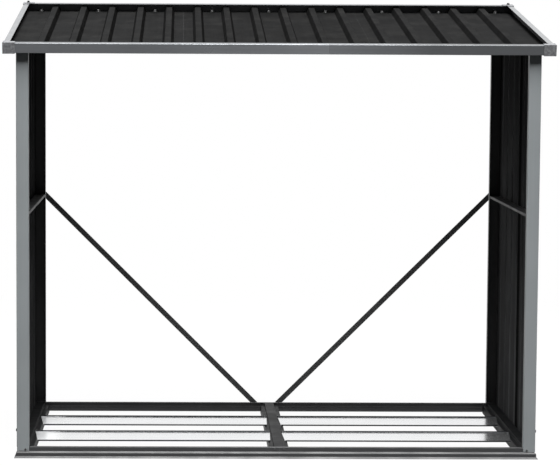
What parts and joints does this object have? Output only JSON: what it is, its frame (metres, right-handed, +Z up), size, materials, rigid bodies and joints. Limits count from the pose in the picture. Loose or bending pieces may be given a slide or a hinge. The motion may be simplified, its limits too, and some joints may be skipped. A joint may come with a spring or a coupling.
{
  "type": "log store",
  "caption": "Open metal log store: ribbed side walls, single-pitch ribbed roof with edge trim, slatted floor and diagonal rear braces.",
  "frame": {"origin": "on the floor, in the middle of the outline seen from above", "axes": "+X to the right seen from the open front, +Y to the back (the high side of the roof), +Z up"},
  "size_m": [1.71, 0.9202, 1.44],
  "materials": {
    "front_post": "satin mid grey",
    "roof_trim": "satin light grey",
    "corner_cap": "fine-grained grey",
    "roof_sheet": "satin anthracite",
    "wall_sheet": "satin anthracite",
    "dark_frame": "satin anthracite",
    "floor_slat": "bright galvanised"
  },
  "bodies": {
    "root": {"centre_bearer": "dark_frame", "front_header": "dark_frame", "front_left_cap": "corner_cap", "front_left_post": "front_post", "front_rail_left": "dark_frame", "front_rail_right": "dark_frame", "front_right_cap": "corner_cap", "front_right_post": "front_post", "front_trim_left": "roof_trim", "front_trim_right": "roof_trim", "left_brace": "dark_frame", "left_front_slat": "floor_slat", "left_mid_rail": "dark_frame", "left_rail": "dark_frame", "left_rear_slat": "floor_slat", "left_top_rail": "dark_frame", "left_trim": "roof_trim", "left_wall_front_panel": "wall_sheet", "left_wall_rear_panel": "wall_sheet", "rear_header": "dark_frame", "rear_left_cap": "corner_cap", "rear_left_post": "dark_frame", "rear_rail_left": "dark_frame", "rear_rail_right": "dark_frame", "rear_right_cap": "corner_cap", "rear_right_post": "dark_frame", "rear_trim_left": "roof_trim", "rear_trim_right": "roof_trim", "right_brace": "dark_frame", "right_front_slat": "floor_slat", "right_mid_rail": "dark_frame", "right_rail": "dark_frame", "right_rear_slat": "floor_slat", "right_top_rail": "dark_frame", "right_trim": "roof_trim", "right_wall_front_panel": "wall_sheet", "right_wall_rear_panel": "wall_sheet", "roof_left_panel": "roof_sheet", "roof_middle_panel": "roof_sheet", "roof_right_panel": "roof_sheet"}
  },
  "joints": []
}
